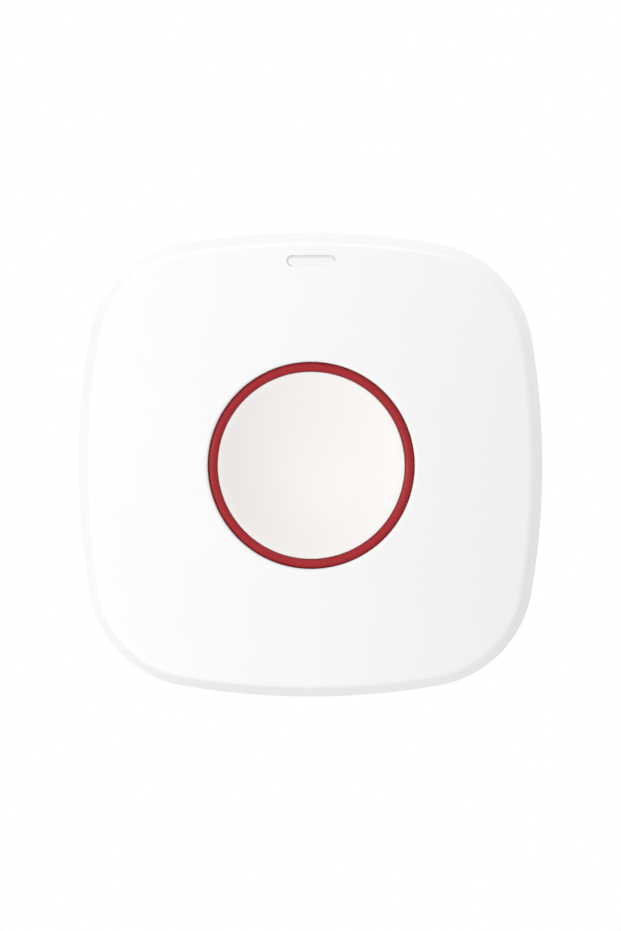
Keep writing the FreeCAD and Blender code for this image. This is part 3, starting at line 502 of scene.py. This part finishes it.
profile = [(POLE_RING, UNDERSIDE), (SKIRT_INSIDE * UNDERSIDE_FLAT, UNDERSIDE),
           (SKIRT_INSIDE, SKIRT_TOP), (SKIRT_INSIDE, FLANGE_TOP - FLANGE_THICK),
           (FLANGE_REACH, FLANGE_TOP - FLANGE_THICK), (FLANGE_REACH, FLANGE_TOP),
           (CAP_RADIUS, FLANGE_TOP)]
for step in range(LIP_STEPS + 1):
    turn = math.radians(90 * step / LIP_STEPS)
    profile.append((DISH_RADIUS + LIP_ROUND + LIP_ROUND * math.cos(turn),
                    CAP_RIM - LIP_ROUND + LIP_ROUND * math.sin(turn)))
for step in range(DISH_RINGS, 0, -1):
    reach = DISH_RADIUS * step / DISH_RINGS
    profile.append((reach, dish(reach)))
cap = turned("button_dish", profile)
close_pole()
pick_edges(cap, is_open)
close_pole()
stand_up(cap, smooth_below=35.0)
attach(cap, "button")
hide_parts("button_cap")

# %% [markdown]
# The red ring is the one strong colour of the object. In the photograph it has a bright crown
# and dark flanks, so it is a bead and not a flat band. The crown is an arc that rises by the
# bead's height over the ring's half width, and both flanks fall straight away into the gaps
# beside it.

# %% Red ring
RING_TOP = -ring_low.y
RING_BOTTOM = DOME_TOP - 4.05 * MM
RING_OUTSIDE = OPENING - 0.08 * MM
RING_INSIDE = CAP_RADIUS + 0.05 * MM
BEAD = 0.4 * MM
BEAD_STEPS = 12
ring_middle = (RING_INSIDE + RING_OUTSIDE) / 2
ring_half = (RING_OUTSIDE - RING_INSIDE) / 2
bead_ball = (ring_half**2 + BEAD**2) / (2 * BEAD)
bead_swing = math.asin(ring_half / bead_ball)
profile = [(RING_INSIDE, RING_BOTTOM), (RING_OUTSIDE, RING_BOTTOM)]
for step in range(BEAD_STEPS + 1):
    swing = bead_swing * (1 - 2 * step / BEAD_STEPS)
    profile.append((ring_middle + bead_ball * math.sin(swing),
                    RING_TOP - bead_ball + bead_ball * math.cos(swing)))
ring = turned("red_ring", profile)
close_ends(ring)
stand_up(ring, smooth_below=40.0)
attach(ring, "button")
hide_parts("button_ring")

# %% [markdown]
# The coil spring under the cap is right as it is in the frame, though a rigid coil would poke
# into the cap when the button goes down. Its mesh is copied and its loose triangles are
# merged.

# %% Return spring: a merged copy
SAME_PLACE = 0.0005 * MM
coil = nodes["return_spring"].copy()
coil.data = nodes["return_spring"].data.copy()
coil.name = "return_coil"
coil.data.name = "return_coil"
bpy.context.scene.collection.objects.link(coil)
bpy.ops.object.select_all(action="DESELECT")
bpy.context.view_layer.objects.active = coil
coil.select_set(True)
bpy.ops.object.mode_set(mode="EDIT")
bpy.ops.mesh.select_all(action="SELECT")
bpy.ops.mesh.remove_doubles(threshold=SAME_PLACE)
bpy.ops.object.mode_set(mode="OBJECT")
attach(coil, "housing")
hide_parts("return_spring")
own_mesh(coil)

# %% [markdown]
# ## Finishes
#
# Each finish is a small net of shader nodes. Written node by node such a net is hard to read,
# so a small class lets its maths be written as maths: an expression on a value adds the Math
# nodes that it needs. Everything is worked out from Object coordinates, in metres, so a grain
# keeps its real size on every piece.


# %% A small language for finishes
class Value:
    """One output of a shader net, which can be used in an expression like a number."""

    def __init__(self, finish, socket):
        self.finish = finish
        self.socket = socket

    def math(self, operation, first, second):
        """The output of a new Math node on two values or numbers."""
        return self.finish.add("ShaderNodeMath", {"operation": operation},
                               {0: first, 1: second})

    def __add__(self, other):
        return self.math("ADD", self, other)

    def __radd__(self, other):
        return self.math("ADD", other, self)

    def __sub__(self, other):
        return self.math("SUBTRACT", self, other)

    def __rsub__(self, other):
        return self.math("SUBTRACT", other, self)

    def __mul__(self, other):
        return self.math("MULTIPLY", self, other)

    def __rmul__(self, other):
        return self.math("MULTIPLY", other, self)

    def __gt__(self, other):
        return self.math("GREATER_THAN", self, other)


class Finish:
    """A material with one main shader, and the nodes that feed it."""

    def __init__(self, name):
        self.material = bpy.data.materials.new(name)
        self.material.use_nodes = True
        self.tree = self.material.node_tree
        self.shader = self.tree.nodes["Principled BSDF"]
        self.place = self.add("ShaderNodeTexCoord", {}, {}, "Object")

    def add(self, kind, settings, sockets, output=0):
        """Add a node, set it up, feed its sockets with numbers or links."""
        node = self.tree.nodes.new(kind)
        for name, value in settings.items():
            setattr(node, name, value)
        for name, value in sockets.items():
            self.feed(node.inputs[name], value)
        return Value(self, node.outputs[output])

    def feed(self, socket, value):
        """Link a value to a socket, or set a number in it."""
        if isinstance(value, Value):
            self.tree.links.new(value.socket, socket)
        else:
            socket.default_value = value

    def set(self, **sockets):
        """Feed the main shader. A name's underscores stand for spaces."""
        for name, value in sockets.items():
            self.feed(self.shader.inputs[name.replace("_", " ")], value)

    def noise(self, size, detail=2.0, stretch=(1.0, 1.0, 1.0)):
        """Cloudy noise, from 0 to 1, whose blots have a real size in metres."""
        place = self.add("ShaderNodeMapping", {}, {"Vector": self.place, "Scale": stretch})
        return self.add("ShaderNodeTexNoise", {},
                        {"Vector": place, "Scale": 1 / size, "Detail": detail}, "Fac")

    def cells(self, size):
        """Distance from the middle of scattered cells of a real size."""
        return self.add("ShaderNodeTexVoronoi", {}, {"Vector": self.place, "Scale": 1 / size},
                        "Distance")

    def blend(self, share, first, second):
        """A colour between two, by a share."""
        node = self.tree.nodes.new("ShaderNodeMix")
        node.data_type = "RGBA"
        self.feed(node.inputs["Factor"], share)
        self.feed(node.inputs["A"], first)
        self.feed(node.inputs["B"], second)
        return Value(self, node.outputs["Result"])

    def relief(self, height, depth):
        """Lean the surface by a height map, whose full swing has a real depth."""
        bump = self.add("ShaderNodeBump", {}, {"Height": height, "Distance": depth,
                                               "Strength": 1.0}, "Normal")
        self.set(Normal=bump)


def colour(red, green, blue):
    """A colour with no see-through part."""
    return (red, green, blue, 1.0)


print("a finish can", ", ".join(name for name in vars(Finish) if not name.startswith("_")))

# %% [markdown]
# Moulded plastic is not one flat colour. The mould is spark-eroded, which leaves a fine even
# grain in the surface, and the melt leaves very faint clouds in its tone and its gloss. One
# function makes every moulding here, from the white housing to the black switch.

# %% Moulded plastic
CLOUD = 9 * MM


def moulding(name, tone, shade, roughness, grain, depth):
    """Plastic with a spark-eroded grain and faint clouds of tone and gloss."""
    finish = Finish(name)
    clouds = finish.noise(CLOUD)
    fine = finish.noise(grain, 3.0)
    pits = finish.cells(grain * 1.6)
    finish.set(Base_Color=finish.blend(clouds * 0.6 + fine * 0.4, tone, shade),
               Roughness=roughness - 0.04 + clouds * 0.05 + fine * 0.03)
    finish.relief(fine * 0.7 + pits * 0.3, depth)
    print(name, "has", len(finish.tree.nodes), "nodes")
    return finish


white_moulding = moulding("white_moulding", colour(0.90, 0.90, 0.895),
                          colour(0.87, 0.87, 0.865), roughness=0.56, grain=0.22 * MM,
                          depth=0.006 * MM)
cap_moulding = moulding("cap_moulding", colour(0.88, 0.855, 0.835), colour(0.855, 0.83, 0.81),
                        roughness=0.38, grain=0.18 * MM, depth=0.004 * MM)
black_moulding = moulding("black_moulding", colour(0.022, 0.022, 0.024),
                          colour(0.035, 0.035, 0.036), roughness=0.5, grain=0.15 * MM,
                          depth=0.006 * MM)

# %% [markdown]
# The ring is pigmented right through and smoother than the housing. Its red is deep: almost
# no green or blue is left in it. The white room would lay a veil of reflection over it, so
# its specular level is turned down.

# %% Red plastic
red_moulding = moulding("red_moulding", colour(0.37, 0.014, 0.020), colour(0.34, 0.011, 0.017),
                        roughness=0.42, grain=0.16 * MM, depth=0.003 * MM)
red_moulding.set(Specular_IOR_Level=0.25)

# %% [markdown]
# The window lets the lamp's light through but shows no detail behind it. Frosting does that:
# most of the light that enters is scattered at once, so the bar looks milky white from
# outside, and only a little of the light passes straight on.

# %% Frosted window
frosted = moulding("frosted_window", colour(0.92, 0.925, 0.92), colour(0.89, 0.895, 0.895),
                   roughness=0.5, grain=0.12 * MM, depth=0.001 * MM)
frosted.set(Transmission_Weight=0.05, IOR=1.49)

# %% [markdown]
# Rolled and stamped metal carries fine lines from its rolls. The noise is squeezed along one
# direction so that its blots become streaks, which lean the surface and change its gloss.

# %% Sheet and drawn metal
LINES = 0.08 * MM
LINE_DEPTH = 0.002 * MM
STAINS = 2.5 * MM
ALONG_X = (0.06, 1.0, 1.0)
ALONG_Z = (1.0, 1.0, 0.06)


def metal(name, tone, shade, roughness, stretch):
    """Metal with fine rolling lines along one direction."""
    finish = Finish(name)
    lines = finish.noise(LINES, 3.0, stretch)
    stains = finish.noise(STAINS)
    finish.set(Base_Color=finish.blend(stains * 0.7 + lines * 0.3, tone, shade), Metallic=1.0,
               Roughness=roughness + stains * 0.1 + lines * 0.08)
    finish.relief(lines, LINE_DEPTH)
    print(name, "has", len(finish.tree.nodes), "nodes")
    return finish


bright_steel = metal("bright_steel_sheet", colour(0.66, 0.66, 0.65), colour(0.52, 0.52, 0.51),
                     roughness=0.22, stretch=ALONG_X)
cell_steel = metal("nickel_plated_can", colour(0.70, 0.69, 0.66), colour(0.60, 0.59, 0.56),
                   roughness=0.18, stretch=ALONG_Z)
spring_steel = metal("drawn_spring_wire", colour(0.50, 0.50, 0.51), colour(0.36, 0.36, 0.37),
                     roughness=0.30, stretch=ALONG_X)
zinc_plate = metal("zinc_plated_screw", colour(0.44, 0.45, 0.47), colour(0.33, 0.33, 0.35),
                   roughness=0.32, stretch=ALONG_Z)
brass_strip = metal("stamped_brass", colour(0.62, 0.46, 0.19), colour(0.50, 0.35, 0.14),
                    roughness=0.25, stretch=ALONG_X)

# %% [markdown]
# The board is glass cloth under a green lacquer. The lacquer is a little lighter where copper
# lies under it, in straight tracks, and the cloth's weave leans the surface very slightly. A
# track is the crest of a wave, and blocks of noise choose which of two waves shows.

# %% Circuit board
TRACKS = (("X", 7.5 * MM, 0.86), ("Z", 11 * MM, 0.88))
TRACK_HEIGHT = 0.02 * MM
BLOCKS = 4.5 * MM
WEAVE = 0.35 * MM


def board_lacquer():
    """Green lacquer over straight tracks, which run across in some blocks and up in others."""
    finish = Finish("board_lacquer")
    sets = []
    for direction, pitch, crest in TRACKS:
        wave = finish.add("ShaderNodeTexWave",
                          {"wave_type": "BANDS", "bands_direction": direction},
                          {"Vector": finish.place, "Scale": 1 / pitch, "Distortion": 0.0},
                          "Fac")
        sets.append(wave > crest)
    blocks = finish.noise(BLOCKS, 0.0) > 0.5
    tracks = blocks * sets[0] + (1 - blocks) * sets[1]
    weave = finish.noise(WEAVE, 1.0)
    finish.set(Base_Color=finish.blend(tracks, colour(0.012, 0.095, 0.038),
                                       colour(0.03, 0.19, 0.075)),
               Roughness=0.30 + weave * 0.1)
    finish.relief(tracks * 0.6 + weave * 0.2, TRACK_HEIGHT)
    print("board_lacquer has", len(finish.tree.nodes), "nodes")
    return finish


lacquer = board_lacquer()

# %% [markdown]
# The chip parts on the board are fired ceramic with tinned ends, and the small lamp is a
# clear cast lens. Neither shows from outside, but a piece without a finish is unfinished.

# %% Ceramic and lamp
ceramic = moulding("fired_ceramic", colour(0.34, 0.22, 0.13), colour(0.27, 0.17, 0.10),
                   roughness=0.55, grain=0.10 * MM, depth=0.005 * MM)
lamp_lens = moulding("cast_lens", colour(0.80, 0.80, 0.66), colour(0.74, 0.74, 0.60),
                     roughness=0.15, grain=0.2 * MM, depth=0.001 * MM)

# %% [markdown]
# A piece's finish hangs on its mesh. The five pieces made above get one here, and so does
# every solid of the frame that isn't replaced. Most of those are inside: nobody sees them in
# this picture, but someone may open the housing in another.

# %% Give every piece its finish
dressed = {
    cover: white_moulding,
    cap: cap_moulding,
    ring: red_moulding,
    window: frosted,
    nodes["rear_cover"]: white_moulding,
    nodes["tamper_plunger"]: white_moulding,
    coil: spring_steel,
    nodes["circuit_board"]: lacquer,
    nodes["tact_switch_body"]: black_moulding,
    nodes["tact_switch_plate"]: bright_steel,
    nodes["tact_switch_plunger"]: red_moulding,
    nodes["tact_switch_leads"]: bright_steel,
    nodes["status_led"]: lamp_lens,
    nodes["microcontroller"]: black_moulding,
    nodes["radio_chip"]: black_moulding,
    nodes["radio_shield"]: bright_steel,
    nodes["crystal"]: bright_steel,
    nodes["antenna"]: brass_strip,
    nodes["capacitors"]: ceramic,
    nodes["resistors"]: black_moulding,
    nodes["battery_holder"]: black_moulding,
    nodes["coin_cell"]: cell_steel,
    nodes["positive_contact"]: bright_steel,
    nodes["negative_contact"]: bright_steel,
    nodes["board_screws"]: zinc_plate,
    nodes["tamper_switch_body"]: black_moulding,
}
for piece, finish in dressed.items():
    piece.data.materials.clear()
    piece.data.materials.append(finish.material)
print("dressed:", len(dressed), "pieces")

# %% [markdown]
# ## The studio
#
# The photograph is a catalogue picture: the object floats on pure white, lit softly from the
# left and above, with no shadow beside it. White round the object comes from a world that is
# white to the camera, and to reflections, but dimmer as a lamp, so the pale housing is never
# burnt out.

# %% World
AMBIENT = 0.708
world = bpy.data.worlds.new("white_room")
bpy.context.scene.world = world
world.use_nodes = True
room = world.node_tree
background = room.nodes["Background"]
background.inputs["Color"].default_value = colour(1.0, 1.0, 1.0)
path = room.nodes.new("ShaderNodeLightPath")
seen = room.nodes.new("ShaderNodeMath")
seen.operation = "MAXIMUM"
room.links.new(path.outputs["Is Camera Ray"], seen.inputs[0])
room.links.new(path.outputs["Is Glossy Ray"], seen.inputs[1])
through = room.nodes.new("ShaderNodeMath")
through.operation = "MAXIMUM"
room.links.new(seen.outputs[0], through.inputs[0])
room.links.new(path.outputs["Is Transmission Ray"], through.inputs[1])
strength = room.nodes.new("ShaderNodeMapRange")
strength.inputs["To Min"].default_value = AMBIENT
strength.inputs["To Max"].default_value = 1.0
room.links.new(through.outputs[0], strength.inputs["Value"])
room.links.new(strength.outputs["Result"], background.inputs["Strength"])
print("the room is white to the eye and", AMBIENT, "as a lamp")

# %% [markdown]
# A pale floor lies below, outside the picture, and catches a soft shadow in views from above.
# Most of what the camera sees of it is a plain white glow, so that it melts into the room,
# and the rest is the lit floor, which keeps the shadow.

# %% Floor
FLOOR_DROP = 80 * MM
GLOW = 0.7
floor = start(bpy.ops.mesh.primitive_plane_add, "floor", size=1.2,
              location=(0, 0, -HALF_WIDTH - FLOOR_DROP))
bpy.ops.object.mode_set(mode="OBJECT")
pale = Finish("pale_floor")
speckle = pale.noise(3 * MM)
pale.set(Base_Color=pale.blend(speckle, colour(0.93, 0.93, 0.93), colour(0.91, 0.91, 0.91)),
         Roughness=0.9)
glow = pale.tree.nodes.new("ShaderNodeEmission")
mix = pale.tree.nodes.new("ShaderNodeMixShader")
pale_path = pale.tree.nodes.new("ShaderNodeLightPath")
pale.feed(mix.inputs[0], Value(pale, pale_path.outputs["Is Camera Ray"]) * GLOW)
pale.tree.links.new(pale.shader.outputs[0], mix.inputs[1])
pale.tree.links.new(glow.outputs[0], mix.inputs[2])
pale.tree.links.new(mix.outputs[0], pale.tree.nodes["Material Output"].inputs["Surface"])
floor.data.materials.append(pale.material)
print("floor", round(FLOOR_DROP / MM), "mm below the housing")

# %% [markdown]
# One broad lamp stands well to the left, so that its light rakes the face: the left half of
# the dome is bright and the right edge turns grey. A second one above, a little to the right,
# lights the upper wall. Far apart as they are, the two don't add up to a burnt-out upper left
# corner. A weak one in front keeps the middle of the face from falling back.


# %% Lamps
def lamp(name, place, aim, size, power):
    """A round lamp that the camera doesn't see."""
    data = bpy.data.lights.new(name, "AREA")
    data.shape = "DISK"
    data.size = size
    data.energy = power
    light = bpy.data.objects.new(name, data)
    bpy.context.scene.collection.objects.link(light)
    light.location = place
    light.rotation_euler = (Vector(aim) - Vector(place)).to_track_quat("-Z", "Y").to_euler()
    light.visible_camera = False
    print(name, "lamp of", power, "W,", round(light.location.length, 2), "m away")


BROAD = 0.34
FACE = (0, -0.01, 0)
lamp("key", (-0.72, -0.40, 0.05), FACE, BROAD, power=1.82)
lamp("top", (0.14, 0.02, 0.70), FACE, BROAD, power=1.47)
lamp("front", (-0.10, -0.84, 0.10), FACE, BROAD, power=0.80)

# %% [markdown]
# The camera stands in front, far away with a long lens: the side walls show as an even band
# all round, which a near camera would not see. The band is a hair wider on the left and at
# the top, so the camera is a third of a degree to the left and above. The picture is 931
# pixels tall, and the ruler from the photograph is 0.1337 mm for each of them.

# %% Camera
LENS = 800.0
SENSOR = 36.0
PICTURE_TALL = 931
MM_PER_PIXEL = 0.1337
MIDDLE_RAISED = 0.8
FROM_LEFT = math.radians(0.35)
FROM_ABOVE = math.radians(0.30)
distance = PICTURE_TALL * MM_PER_PIXEL * MM * LENS / SENSOR
camera_data = bpy.data.cameras.new("camera")
camera_data.lens = LENS
camera_data.sensor_width = SENSOR
camera_data.clip_start = 0.1
camera_data.clip_end = 20.0
camera = bpy.data.objects.new("camera", camera_data)
bpy.context.scene.collection.objects.link(camera)
sight = Vector((math.sin(FROM_LEFT), math.cos(FROM_LEFT), -math.tan(FROM_ABOVE)))
aim = Vector((0, 0, -MIDDLE_RAISED * MM_PER_PIXEL * MM))
camera.location = aim - distance * sight
camera.rotation_euler = sight.to_track_quat("-Z", "Y").to_euler()
bpy.context.scene.camera = camera
bpy.context.scene.view_settings.view_transform = "Standard"
print("camera distance", round(distance, 3), "m")

# %% [markdown]
# The new skins have to stay inside the old ones.
